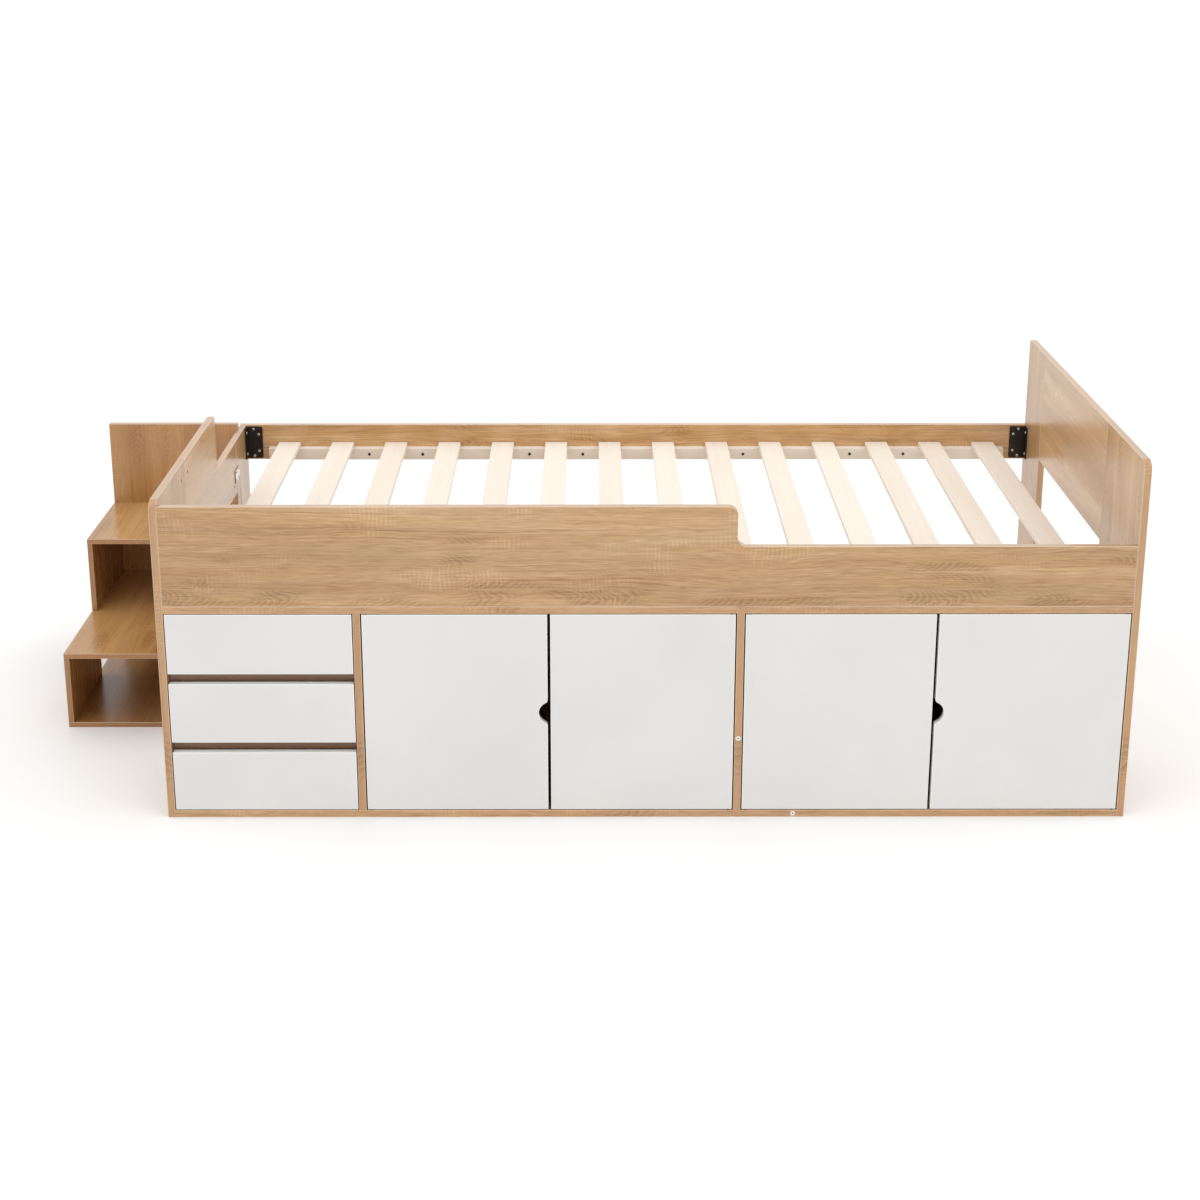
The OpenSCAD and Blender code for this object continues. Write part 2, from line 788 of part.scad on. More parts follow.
// Space of the drawer bottom and of the groove that holds it
module bottom_panel(k, play) {
    z = box_z(k) + groove_rise;
    inner = [box_x[0] + drawer_wall, box_x[1] - drawer_wall];
    block([inner[0] - groove_d - play, inner[1] + groove_d + play],
        [board_t - groove_d - play, box_y[1] - drawer_wall + groove_d + play],
        [z - play, z + drawer_bottom_t + play]);
}

module drawer_front(k) {
    color(white_board) difference() {
        block(front_x, [0, board_t], [front_z(k), front_z(k) + front_h]);
        bottom_panel(k, groove_play);
    }
}

// Drawer sides and back, folded from one board
module drawer_box(k) {
    z = [box_z(k), box_z(k) + drawer_box_h];
    color(white_board) difference() {
        block(box_x, box_y, z);
        block([box_x[0] + drawer_wall, box_x[1] - drawer_wall],
            [box_y[0] - 1, box_y[1] - drawer_wall], [z[0] - 1, z[1] + 1]);
        bottom_panel(k, groove_play);
    }
}

module drawer_bottom(k) {
    color(white_board) bottom_panel(k, 0);
}

module moving_runners(k) {
    color(grey_steel) at_both_walls() moving_runner(k);
}

module drawer_1_front() { drawer_front(1); }
module drawer_1_box() { drawer_box(1); }
module drawer_1_bottom() { drawer_bottom(1); }
module drawer_1_runners() { moving_runners(1); }
module drawer_2_front() { drawer_front(2); }
module drawer_2_box() { drawer_box(2); }
module drawer_2_bottom() { drawer_bottom(2); }
module drawer_2_runners() { moving_runners(2); }
module drawer_3_front() { drawer_front(3); }
module drawer_3_box() { drawer_box(3); }
module drawer_3_bottom() { drawer_bottom(3); }
module drawer_3_runners() { moving_runners(3); }

// Half-moon cut-out at x = 0 in material at negative x, eased by two arcs that cross the
// half-moon and the door's edge at a very small angle
module finger_cut() {
    cut_x = finger_r - finger_depth;
    ease_x = ease_cross - finger_ease_r;
    ease_z = sqrt(pow(finger_r + finger_ease_r - ease_cross, 2) - pow(cut_x - ease_x, 2));
    translate([cut_x, 0]) circle(r = finger_r);
    difference() {
        polygon([[finger_r, ease_z], [ease_x, ease_z], [cut_x, 0],
            [ease_x, -ease_z], [finger_r, -ease_z]]);
        for (s = [-1, 1]) translate([ease_x, s * ease_z]) circle(r = finger_ease_r);
    }
}

module door(k, has_cut) {
    x = door_x(k);
    free_x = left_hung(k) ? x[1] : x[0];
    color(white_board) difference() {
        face_board(0, board_t) difference() {
            rectangle(x, door_z);
            if (has_cut) translate([free_x, (door_z[0] + door_z[1]) / 2])
                mirror([left_hung(k) ? 0 : 1, 0]) finger_cut();
        }
        for (level = [0, 1]) {
            rod([pivot_x(k), pivot_y, door_z[level]], level == 0 ? z_dir : -z_dir,
                pin_d, pin_in_door);
        }
    }
}

module door_1() { door(1, true); }
module door_2() { door(2, false); }
module door_3() { door(3, false); }
module door_4() { door(4, true); }

// Pivot pins at the top and bottom of a door and its strike plate
module door_fittings(k) {
    color(zinc) {
        for (level = [0, 1]) {
            up = level == 0 ? z_dir : -z_dir;
            rod([pivot_x(k), pivot_y, bay_z[level]] - up * (bush_l - pin_end_play), up, pin_d,
                bush_l - pin_end_play + front_play + pin_in_door);
        }
        block([catch_x(k) - catch_l / 2, catch_x(k) + catch_l / 2], [board_t, board_t + strike_t],
            [bay_z[1] - catch_h, door_z[1]]);
    }
}

module door_1_fittings() { door_fittings(1); }
module door_2_fittings() { door_fittings(2); }
module door_3_fittings() { door_fittings(3); }
module door_4_fittings() { door_fittings(4); }

module bush_holes() {
    for (k = [1 : 4], level = [0, 1]) {
        rod([pivot_x(k), pivot_y, bay_z[level]], level == 0 ? -z_dir : z_dir, bush_d, bush_l);
    }
}

// Flanged bushes in the bottom and top boards
module pivot_bushes() {
    color(white_plastic) for (k = [1 : 4], level = [0, 1]) {
        up = level == 0 ? z_dir : -z_dir;
        seat = [pivot_x(k), pivot_y, bay_z[level]];
        difference() {
            union() {
                rod(seat - up * bush_l, up, bush_d, bush_l + flange_t);
                rod(seat, up, bush_flange_d, flange_t);
            }
            rod(seat - up * bush_l, up, pin_d + 2 * pin_play, bush_l + flange_t);
        }
    }
}

module magnet_catches() {
    y = board_t + strike_t + catch_play;
    color(white_plastic) for (k = [1 : 4]) {
        block([catch_x(k) - catch_l / 2, catch_x(k) + catch_l / 2], [y, y + catch_d],
            [bay_z[1] - catch_h, bay_z[1]]);
    }
}

// One board of the steps with the dowel holes that fall in it
module step_board(x, y, z) {
    color(oak) difference() {
        block(x, y, z);
        dowel_holes(step_dowels);
    }
}

module steps_base() {
    step_board([-steps_w, 0], [lower_y, steps_back_y], [0, step_t]);
}

module lower_step_side() {
    step_board(outer_x, [lower_y, lower_y + outer_side_w], [step_t, step_h - step_t]);
}

module lower_tread() {
    step_board(tread_x, [lower_y, steps_back_y], [step_h - step_t, step_h]);
}

module upper_step_side() {
    step_board(outer_x, [upper_y, steps_back_y], [step_h, 2 * step_h - step_t]);
}

module upper_tread() {
    step_board(tread_x, [upper_y, steps_back_y], [2 * step_h - step_t, 2 * step_h]);
}

module steps_back_board() {
    step_board([-steps_w, 0], [steps_back_y, steps_back_y + board_t], [0, steps_back_h]);
}

// Bed-side side of the steps, with the outline of both steps
module steps_inner_side() {
    color(oak) difference() {
        side_board(-step_t, step_t) {
            rectangle([lower_y, steps_back_y], [step_t, step_h]);
            rectangle([upper_y, steps_back_y], [step_h, 2 * step_h]);
        }
        dowel_holes(step_dowels);
        at_step_screws() screw_hole(step_screw_l);
    }
}

placed() foot_front_board();
placed() foot_upper_board();
placed() foot_rear_leg();
placed() head_front_board();
placed() head_upper_board();
placed() head_rear_leg();
placed() front_rail();
placed() back_rail();
placed() front_ledger();
placed() back_ledger();
placed() slats();
placed() front_corner_brackets();
placed() back_corner_brackets();
placed() wood_screws();
placed() ledger_screws();
placed() joining_plates();
placed() dowels();
placed() connecting_screws();
placed() screw_caps();
placed() bottom_board_left();
placed() bottom_board_right();
placed() top_board_left();
placed() top_board_right();
placed() drawer_divider();
placed() centre_divider();
placed() back_panel_left();
placed() back_panel_right();
placed() upper_drawer_rail();
placed() lower_drawer_rail();
placed() drawer_runners();
placed() drawer_1_front();
placed() drawer_1_box();
placed() drawer_1_bottom();
placed() drawer_1_runners();
placed() drawer_2_front();
placed() drawer_2_box();
placed() drawer_2_bottom();
placed() drawer_2_runners();
placed() drawer_3_front();
placed() drawer_3_box();
placed() drawer_3_bottom();
placed() drawer_3_runners();
placed() door_1();
placed() door_2();
placed() door_3();
placed() door_4();
placed() door_1_fittings();
placed() door_2_fittings();
placed() door_3_fittings();
placed() door_4_fittings();
placed() pivot_bushes();
placed() magnet_catches();
placed() steps_base();
placed() lower_step_side();
placed() lower_tread();
placed() upper_step_side();
placed() upper_tread();
placed() steps_back_board();
placed() steps_inner_side();
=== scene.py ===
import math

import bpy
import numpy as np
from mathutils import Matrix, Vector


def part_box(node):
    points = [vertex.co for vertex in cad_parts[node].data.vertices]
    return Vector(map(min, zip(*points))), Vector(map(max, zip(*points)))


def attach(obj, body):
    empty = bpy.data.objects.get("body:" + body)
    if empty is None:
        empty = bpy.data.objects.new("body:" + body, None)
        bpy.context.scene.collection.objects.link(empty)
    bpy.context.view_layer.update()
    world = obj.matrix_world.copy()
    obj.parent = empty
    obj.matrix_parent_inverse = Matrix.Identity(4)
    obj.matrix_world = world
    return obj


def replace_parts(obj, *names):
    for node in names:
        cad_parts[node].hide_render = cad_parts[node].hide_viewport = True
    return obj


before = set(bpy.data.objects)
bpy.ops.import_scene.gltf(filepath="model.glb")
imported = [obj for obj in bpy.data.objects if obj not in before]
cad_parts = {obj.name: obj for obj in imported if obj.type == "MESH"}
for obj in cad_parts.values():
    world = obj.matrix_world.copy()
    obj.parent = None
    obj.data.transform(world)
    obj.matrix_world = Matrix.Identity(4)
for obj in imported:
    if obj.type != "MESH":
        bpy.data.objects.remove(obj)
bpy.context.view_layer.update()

# Looks of the storage bed frame: oak-print boards, white fronts, pale slats, black brackets,
# zinc fittings and white screw caps. The scene is in metres. Patterns, rounded edges, screws and
# caps are worked out in millimetres.

MM = 0.001


# ---------------------------------------------------------------- material nodes

def tone(red, green, blue):
    """Colour from 0 to 255 in display values, as linear light by the sRGB formula."""
    def linear(v):
        v = v / 255
        return v / 12.92 if v <= 0.04045 else ((v + 0.055) / 1.055) ** 2.4
    return (linear(red), linear(green), linear(blue), 1.0)


class Wire:
    """An output socket of a material. Arithmetic on it adds Math nodes."""

    def __init__(self, paint, socket):
        self.paint = paint
        self.socket = socket

    def math(self, operation, *others):
        return self.paint.add("ShaderNodeMath", {"operation": operation}, self, *others)[0]

    def reflected(self, operation, other):
        return self.paint.add("ShaderNodeMath", {"operation": operation}, other, self)[0]

    def __add__(self, other):
        return self.math("ADD", other)

    def __sub__(self, other):
        return self.math("SUBTRACT", other)

    def __mul__(self, other):
        return self.math("MULTIPLY", other)

    def __truediv__(self, other):
        return self.math("DIVIDE", other)

    def __radd__(self, other):
        return self.reflected("ADD", other)

    def __rsub__(self, other):
        return self.reflected("SUBTRACT", other)

    def __rmul__(self, other):
        return self.reflected("MULTIPLY", other)

    def __rtruediv__(self, other):
        return self.reflected("DIVIDE", other)

    def __abs__(self):
        return self.math("ABSOLUTE")

    def floor(self):
        return self.math("FLOOR")

    def fraction(self):
        return self.math("FRACT")

    def root(self):
        return self.math("SQRT")

    def above(self, low, high):
        """0 below low, 1 above high, with a soft step between them."""
        settings = {"interpolation_type": "SMOOTHSTEP"}
        return self.paint.add("ShaderNodeMapRange", settings, Value=self,
                              **{"From Min": low, "From Max": high})["Result"]

    def below(self, low, high):
        """1 below low, 0 above high, with a soft step between them."""
        return 1 - self.above(low, high)

    def swing(self, amount):
        """This noise, whose middle is 0.5, as a swing around 0."""
        return (self - 0.5) * amount

    def toward(self, other, factor):
        """This value where factor is 0 and the other where it is 1."""
        return self + (other - self) * factor


class Outputs:
    """The outputs of one node, as wires."""

    def __init__(self, paint, node):
        self.paint = paint
        self.node = node

    def __getitem__(self, key):
        return Wire(self.paint, self.node.outputs[key])


class Paint:
    """One procedural material: a Principled shader and the nodes that feed it."""

    # A Mix node's sockets for the factor, the two colours and the mixed colour
    MIX_INPUTS = (0, 6, 7)
    MIX_OUTPUT = 2

    def __init__(self, name, **settings):
        self.material = bpy.data.materials.new(name)
        self.material.use_nodes = True
        self.tree = self.material.node_tree
        self.shader = self.tree.nodes["Principled BSDF"]
        self.set(**settings)
        self.coordinates = self.add("ShaderNodeTexCoord", {})

    def fill(self, socket, value):
        if isinstance(value, Wire):
            self.tree.links.new(value.socket, socket)
        else:
            socket.default_value = value

    def add(self, kind, settings, *in_order, **by_name):
        """Adds a node: its settings first, then the values or links of its sockets."""
        node = self.tree.nodes.new(kind)
        for name, value in settings.items():
            if name == "stops":
                ramp = node.color_ramp
                for i, (place, colour) in enumerate(value):
                    stop = ramp.elements[i] if i < 2 else ramp.elements.new(place)
                    stop.position, stop.color = place, colour
            else:
                setattr(node, name, value)
        for socket, value in zip(node.inputs, in_order):
            self.fill(socket, value)
        for name, value in by_name.items():
            self.fill(node.inputs[name], value)
        return Outputs(self, node)

    def set(self, **sockets):
        """Sets or links sockets of the shader; an underscore in a name stands for a space."""
        for name, value in sockets.items():
            self.fill(self.shader.inputs[name.replace("_", " ")], value)

    def place(self):
        """Object coordinates in millimetres, by axis."""
        apart = self.add("ShaderNodeSeparateXYZ", {}, self.coordinates["Object"])
        return {axis: apart[axis.upper()] / MM for axis in "xyz"}

    def facing(self):
        """How much the surface faces along each axis, from 0 to 1."""
        apart = self.add("ShaderNodeSeparateXYZ", {}, self.coordinates["Normal"])
        return {axis: abs(apart[axis.upper()]) for axis in "xyz"}

    def noise(self, x, y, z, detail, roughness=0.5):
        """Soft random values from about 0.2 to 0.8, one feature wide per unit."""
        vector = self.add("ShaderNodeCombineXYZ", {}, x, y, z)["Vector"]
        return self.add("ShaderNodeTexNoise", {}, Vector=vector, Scale=1.0, Detail=detail,
                        Roughness=roughness)["Fac"]

    def even(self, at, size, detail):
        """Noise whose features have one size in all directions."""
        return self.noise(at["x"] / size, at["y"] / size, at["z"] / size, detail)

    def grained(self, where, length, width, detail=1, roughness=0.5):
        """Noise whose features have a length along the grain and a width across it."""
        along, over, deep = where
        return self.noise(along / length, over / width, deep / width, detail, roughness)

    def random(self, value):
        """A random number from 0 to 1 for each whole number."""
        return self.add("ShaderNodeTexWhiteNoise", {"noise_dimensions": "1D"}, W=value)["Value"]

    def ramp(self, factor, stops):
        """Colour from a list of stops, whose first two are the ends."""
        return self.add("ShaderNodeValToRGB", {"stops": stops}, factor)["Color"]

    def clouded(self, factor, low, high):
        """Colour of a cloudy surface, from a low to a high tone."""
        return self.ramp(factor, [(0.3, low), (0.7, high)])

    def blend(self, first, second, factor, kind="MIX"):
        mix = self.add("ShaderNodeMix", {"data_type": "RGBA", "blend_type": kind})
        for place, value in zip(self.MIX_INPUTS, (factor, first, second)):
            self.fill(mix.node.inputs[place], value)
        return mix[self.MIX_OUTPUT]

    def bump(self, height, depth, strength):
        """Normal from a height of 0 to 1 that stands for a depth in metres."""
        return self.add("ShaderNodeBump", {}, Strength=strength, Distance=depth,
                        Height=height)["Normal"]


def third_axis(first, second):
    return ({"x", "y", "z"} - {first, second}).pop()


# ---------------------------------------------------------------- oak print

# Layers of the print: the length of a feature along the grain and its width across, in
# millimetres, then how far the layer moves the tone, as a share of the ramp of oak tones. A layer
# that only shows where its noise is high has the two values between which it comes in.
CLOUDS, CLOUD_TONE, CLOUD_TONE_LOST_ON_EDGE, CLOUD_ROUGHNESS = (1100, 75), 0.58, 0.4, 0.4
BANDS, BAND_TONE = (620, 17), 0.22
STREAKS, STREAK_TONE = (330, 5.0), 0.24
FIBRES, FIBRE_TONE = (60, 2.4), 0.48
HAIRS, HAIR_TONE = (24, 0.8), 0.2
LINES, LINES_SHOW, LINE_TONE = (420, 3.2), (0.6, 0.69), 0.2
LINE_PATCHES, LINE_PATCHES_SHOW = (420, 45), (0.4, 0.6)
PORES, PORES_SHOW, PORE_TONE = (30, 1.5), (0.6, 0.7), 0.1
WARM_STREAKS, WARM_STREAKS_SHOW = (500, 30), (0.3, 0.7)
ARCH_TONE, SAW_TONE = 0.28, 0.14
MIDDLE_TONE = 0.5
FINE_LAYERS_LIFT = 0.03

# The grain's bends: the size of a bend as above, and how far it swings across the grain
WIDE_BENDS, WIDE_SWING = (380, 90), 34
NARROW_BENDS, NARROW_SWING = (80, 25), 5

STRIP_WIDTH = 37.0          # of the strips that the print's arches stand in
STRIP_FADE = (STRIP_WIDTH * 0.36, STRIP_WIDTH * 0.5)    # how far from its middle arches fade
STRIP_JUMP = 5300           # how much further along the print a strip may start
FIRST_STRIP = (0.1, 0.9)    # lies between the numbers of the first strip and the next
ARCH_SPACING = 15           # between two rings, along the grain
ARCH_WIDTH = 7              # from an arch's middle to where its sides run straight
ARCH_DEPTH = 0.85           # how far the sides of an arch lag, in spacings per arch width
ARCH_END = (0.84, 1.0)      # where an arch's dark side ends, in spacings
# How an arch's middle wanders: over what length, how far, and the step in the noise from one
# strip to the next
WANDER_LENGTH, WANDER_SWING, WANDER_STEP = 110, 30, 3.1
UNEVEN_ARCHES, UNEVEN_SWING = (70, 30), 3.2
# Where arches show: length and width of such a place, and again the step between strips
FLAME_LENGTH, FLAME_WIDTH, FLAME_STEP, FLAMES_SHOW = 170, 45, 7.7, (0.63, 0.77)

SAW_SPACING = 8.6           # between two saw marks, along the grain
SAW_RISE, SAW_FALL = (0.3, 0.65), (0.65, 1.0)           # the two sides of a mark, in spacings
SAW_BENDS, SAW_SWING = (60, 30), 1.2
SAW_BREAKS, SAW_BREAKS_SHOW = (6, 60), (0.25, 0.6)
SAW_PATCH_LENGTH, SAW_PATCH_WIDTH, SAW_PATCH_SHIFT, SAW_PATCHES_SHOW = 150, 55, 3.3, (0.57, 0.69)

# The film on the board, and on its edge bands
FILM_ROUGHNESS, FILM_ROUGHNESS_SWING, EDGE_SMOOTHER = 0.27, 0.12, 0.06
FILM_GLOSS, EDGE_GLOSS = 0.12, 0.7
FIBRE_RELIEF, HAIR_RELIEF, LINE_RELIEF = 0.6, 0.4, 0.3  # shares of the relief's depth
RELIEF_DEPTH, RELIEF_STRENGTH = 0.02 * MM, 0.4
# How strongly the rounded corners are painted paler: a painted highlight
CORNER_HIGHLIGHT_STRENGTH = 0.45

OAK_TONES = [
    (0.0, tone(130, 93, 54)), (1.0, tone(230, 197, 159)), (0.25, tone(156, 119, 79)),
    (0.5, tone(181, 145, 104)), (0.75, tone(205, 171, 132)),
]
OAK_WARM = tone(255, 249, 238)
# Tone of the painted highlight on the boards' rounded corners
OAK_CORNER_HIGHLIGHT = tone(236, 219, 198)
# Tone of the painted highlight on edges that face up
OAK_TOP_EDGE_HIGHLIGHT = tone(232, 216, 196)
NO_STAIN = (255, 255, 255)
PALE_BAND = (251, 243, 232)

# A face turns from one side of a board to the next between these shares of an axis
TURN = (0.6, 0.8)
# The shares of an axis at which a broad face starts to curve into a rounded corner, and ends
CORNER_START = (0.93, 0.97)
CORNER_END = (0.2, 0.35)


def arches(paint, where, first, lively):
    """Yearly rings as blunt arches, from 0 to 1. In each strip that runs along the grain an arch
    is where along + depth * root(1 + distance^2) is a whole number, along being counted in
    spacings, and distance in arch widths from the strip's middle. Each darkens along the grain
    and ends sharply. The arches show in parts of some strips, and lively makes them show in more
    of the strip that starts at first."""
    along, over, deep = where
    strip = ((over - first) / STRIP_WIDTH).floor()
    middle = over - first - (strip + 0.5) * STRIP_WIDTH
    place = along + paint.random(strip) * STRIP_JUMP
    wander = paint.noise(place / WANDER_LENGTH, strip * WANDER_STEP, 0.0, 1)
    distance = (middle + wander.swing(WANDER_SWING)) / ARCH_WIDTH
    sides = (distance * distance + 1).root() * ARCH_DEPTH
    uneven = paint.grained((place, over, deep), *UNEVEN_ARCHES).swing(UNEVEN_SWING)
    rings = (place / ARCH_SPACING + sides + uneven).fraction()
    rings = rings * rings.below(*ARCH_END)
    shown = paint.noise(place / FLAME_LENGTH, strip * FLAME_STEP, middle / FLAME_WIDTH, 0)
    if lively:
        shown = shown + abs(strip).below(*FIRST_STRIP) * lively
    shown = shown.above(*FLAMES_SHOW) * abs(middle).below(*STRIP_FADE)
    return rings * shown


def saw_marks(paint, where):
    """Saw marks, from 0 to 1: evenly spaced ticks square to the grain, in patches."""
    along, over, deep = where
    uneven = paint.grained(where, *SAW_BENDS, 0).swing(SAW_SWING)
    ticks = (along / SAW_SPACING + uneven).fraction()
    ticks = ticks.above(*SAW_RISE) * ticks.below(*SAW_FALL)
    ticks = ticks * paint.grained(where, *SAW_BREAKS, 0).above(*SAW_BREAKS_SHOW)
    patches = paint.noise(along / SAW_PATCH_LENGTH + SAW_PATCH_SHIFT, over / SAW_PATCH_WIDTH,
                          deep / SAW_PATCH_WIDTH, 1)
    return ticks * patches.above(*SAW_PATCHES_SHOW)


def oak(name, grain, across, stain_and_shade=NO_STAIN, band=PALE_BAND, light=0.0, figure=1.0, shift=0.0,
        first=0.0, lively=0.0, fine=1.0, top_edge_highlight=0.0):
    """Oak print on coated board. Clouds, bands, streaks, lines and fibres are noise stretched
    along the grain, which bends; arches are dark and saw marks pale. On the edge bands the grain
    follows the edge. Stain and shade colour the whole board: a stain, and on the drawer rails and
    the steps' base and sides painted shade as well. Band colours its edges, light makes it paler,
    on the treads and the back rail as painted light, figure scales arches and saw marks, shift
    moves the print along, first and lively are those of the arches, fine scales the narrow
    layers, and by its square the relief and the uneven gloss, and the top-edge highlight paints
    the edges that face up paler, a painted highlight. The rounded corners get a painted highlight
    too."""
    paint = Paint(name, IOR=1.52, Coat_Roughness=0.12, Coat_IOR=1.5)
    at, facing = paint.place(), paint.facing()
    thick = third_axis(grain, across)
    end = facing[grain].above(*TURN)
    edge = facing[thick].below(*TURN)
    along = at[grain].toward(at[across], end) + shift
    over = at[across].toward(at[grain], end)
    deep = at[thick]
    straight = (along, over, deep)
    bend = paint.grained(straight, *WIDE_BENDS).swing(WIDE_SWING)
    bend = bend + paint.grained(straight, *NARROW_BENDS).swing(NARROW_SWING)
    bent = (along, over + bend, deep)

    clouds = paint.grained(bent, *CLOUDS, roughness=CLOUD_ROUGHNESS)
    bands = paint.grained(bent, *BANDS)
    streaks = paint.grained(bent, *STREAKS)
    fibres = paint.grained(bent, *FIBRES)
    hairs = paint.grained(bent, *HAIRS, 0)
    lines = paint.grained(bent, *LINES).above(*LINES_SHOW)
    lines = lines * paint.grained(straight, *LINE_PATCHES, 0).above(*LINE_PATCHES_SHOW)
    pores = paint.grained(bent, *PORES, 0).above(*PORES_SHOW)
    rings = arches(paint, straight, first, lively)
    ticks = saw_marks(paint, straight)

    value = MIDDLE_TONE + light + clouds.swing(CLOUD_TONE - edge * CLOUD_TONE_LOST_ON_EDGE)
    value = value + bands.swing(BAND_TONE)
    thin = streaks.swing(STREAK_TONE) + fibres.swing(FIBRE_TONE) + hairs.swing(HAIR_TONE)
    value = value + (thin - lines * LINE_TONE - pores * PORE_TONE) * fine + FINE_LAYERS_LIFT
    value = value + (ticks * SAW_TONE - rings * ARCH_TONE) * figure

    colour = paint.ramp(value, OAK_TONES)
    warm = paint.grained(bent, *WARM_STREAKS).above(*WARM_STREAKS_SHOW)
    colour = paint.blend(colour, OAK_WARM, warm, "MULTIPLY")
    # A stain tints the whole board; on the drawer rails and the steps' base and sides this tint
    # is also painted shade
    colour = paint.blend(colour, tone(*stain_and_shade), 1.0, "MULTIPLY")
    colour = paint.blend(colour, tone(*band), edge, "MULTIPLY")
    # Rounded corners painted paler: a painted highlight where they catch the light
    corner_highlight = facing[thick].above(*CORNER_END) * facing[thick].below(*CORNER_START)
    colour = paint.blend(colour, OAK_CORNER_HIGHLIGHT, corner_highlight * CORNER_HIGHLIGHT_STRENGTH)
    # Edges that face up painted paler: a painted highlight from light above
    if top_edge_highlight:
        up = facing["z"].above(*TURN)
        colour = paint.blend(colour, OAK_TOP_EDGE_HIGHLIGHT, edge * up * top_edge_highlight)

    height = fibres.swing(FIBRE_RELIEF) + hairs.swing(HAIR_RELIEF) - lines * LINE_RELIEF
    rough = FILM_ROUGHNESS + streaks.swing(FILM_ROUGHNESS_SWING * fine * fine)
    paint.set(Base_Color=colour, Roughness=rough - edge * EDGE_SMOOTHER,
              Coat_Weight=FILM_GLOSS + edge * EDGE_GLOSS,
              Normal=paint.bump(height, RELIEF_DEPTH, RELIEF_STRENGTH * fine * fine))
    return paint.material


# ---------------------------------------------------------------- other materials

def coated_white(name, thick):
    """White coated board: a faint orange-peel surface, and a painted highlight that makes the
    edge bands and rounded edges a little paler.
    """
    paint = Paint(name, IOR=1.5)
    at, facing = paint.place(), paint.facing()
    edge = facing[thick].below(0.93, 0.98)
    cloud = paint.even(at, size=260, detail=2)
    peel = paint.even(at, size=1.6, detail=1)
    colour = paint.clouded(cloud, tone(214, 212, 210), tone(219, 217, 214))
    # Edge bands and rounded edges painted paler: a painted highlight along the edges
    colour = paint.blend(colour, tone(240, 239, 236), edge)
    paint.set(Base_Color=colour, Roughness=0.4 + peel.swing(0.1) - edge * 0.1,
              Normal=paint.bump(peel, depth=0.03 * MM, strength=0.5))
    return paint.material


PINE_JUMP_ALONG, PINE_JUMP_OVER = 1733.0, 61.0
PINE_TONES = [
    (0.0, tone(216, 191, 163)), (1.0, tone(241, 233, 221)), (0.4, tone(232, 218, 200)),
    (0.65, tone(237, 227, 213)),
]
PINE_END = tone(222, 192, 158)


def pine(name, grain, across, start=0.0, pitch=1000.0, light=0.0):
    """Pale planed wood, cut from a different place for each slat, which are counted across from
    start by pitch. Yearly rings are a noise stretched along the grain; end grain is darker. Light
    makes the broad faces paler, and the narrow ones three times as much."""
    paint = Paint(name, IOR=1.45)
    at, facing = paint.place(), paint.facing()
    thick = third_axis(grain, across)
    number = ((at[across] - start) / pitch).floor()
    along = at[grain] + number * PINE_JUMP_ALONG
    over = at[across] + number * PINE_JUMP_OVER
    deep = at[thick]
    bent = over + paint.grained((along, over, deep), length=380, width=60).swing(24)
    rings = paint.noise(along / 900, bent / 5.5, deep / 12, detail=2)
    fibres = paint.grained((along, bent, deep), length=60, width=0.9, detail=2, roughness=0.6)
    cloud = paint.grained((along, over, deep), length=240, width=40, detail=2)
    slat_tone = paint.noise(number * 3.7, 0.5, 0.5, detail=0)
    value = 0.6 + rings.swing(0.4) + fibres.swing(0.35) + cloud.swing(0.3)
    value = value + slat_tone.swing(0.4) + (1.5 - facing[thick]) * light
    colour = paint.ramp(value, PINE_TONES)
    colour = paint.blend(colour, PINE_END, facing[grain].above(*TURN) * 0.55)
    paint.set(Base_Color=colour, Roughness=0.55 + fibres.swing(0.2),
              Normal=paint.bump(fibres, depth=0.08 * MM, strength=0.6))
    return paint.material


def zinc(name, low=(196, 197, 196), high=(224, 224, 220)):
    """Zinc plate with fine rolling lines and dull patches, from a low to a high tone."""
    paint = Paint(name, Metallic=1.0)
    at = paint.place()
    lines = paint.noise(at["x"] / 0.5, at["y"] / 6, at["z"] / 0.5, detail=1)
    cloud = paint.even(at, size=9, detail=2)
    colour = paint.clouded(cloud, tone(*low), tone(*high))
    paint.set(Base_Color=colour, Roughness=0.28 + cloud.swing(0.25) + lines.swing(0.1),
              Normal=paint.bump(lines, depth=0.01 * MM, strength=0.12))
    return paint.material


def black_coat(name):
    """Black powder coating with a fine pebbled surface."""
    paint = Paint(name, IOR=1.5)
    pebble = paint.even(paint.place(), size=0.6, detail=2)
    colour = paint.clouded(pebble, tone(13, 13, 14), tone(21, 21, 22))
    paint.set(Base_Color=colour, Roughness=0.42 + pebble.swing(0.2),
              Normal=paint.bump(pebble, depth=0.08 * MM, strength=0.6))
    return paint.material


def moulded(name, low, high):
    """Moulded plastic with a faint grain and soft clouds between two tones."""
    paint = Paint(name, IOR=1.46)
    at = paint.place()
    grain = paint.even(at, size=0.4, detail=1)
    cloud = paint.even(at, size=20, detail=1)
    colour = paint.clouded(cloud, tone(*low), tone(*high))
    paint.set(Base_Color=colour, Roughness=0.38 + grain.swing(0.15),
              Normal=paint.bump(grain, depth=0.02 * MM, strength=0.4))
    return paint.material


def matt_floor(name):
    """Matt white floor with faint wide clouds."""
    paint = Paint(name, Roughness=0.9)
    at = paint.place()
    cloud = paint.noise(at["x"] / 900, at["y"] / 900, 0.0, detail=2)
    colour = paint.clouded(cloud, (0.915, 0.915, 0.912, 1), (0.925, 0.925, 0.922, 1))
    paint.set(Base_Color=colour)
    return paint.material


# ---------------------------------------------------------------- looks of the pieces

SLATS = 14
SLAT_WIDTH = 54
slat_low, slat_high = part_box("slats")
slat_pitch = ((slat_high.x - slat_low.x) / MM - SLAT_WIDTH) / (SLATS - 1)
slat_start = slat_low.x / MM - (slat_pitch - SLAT_WIDTH) / 2

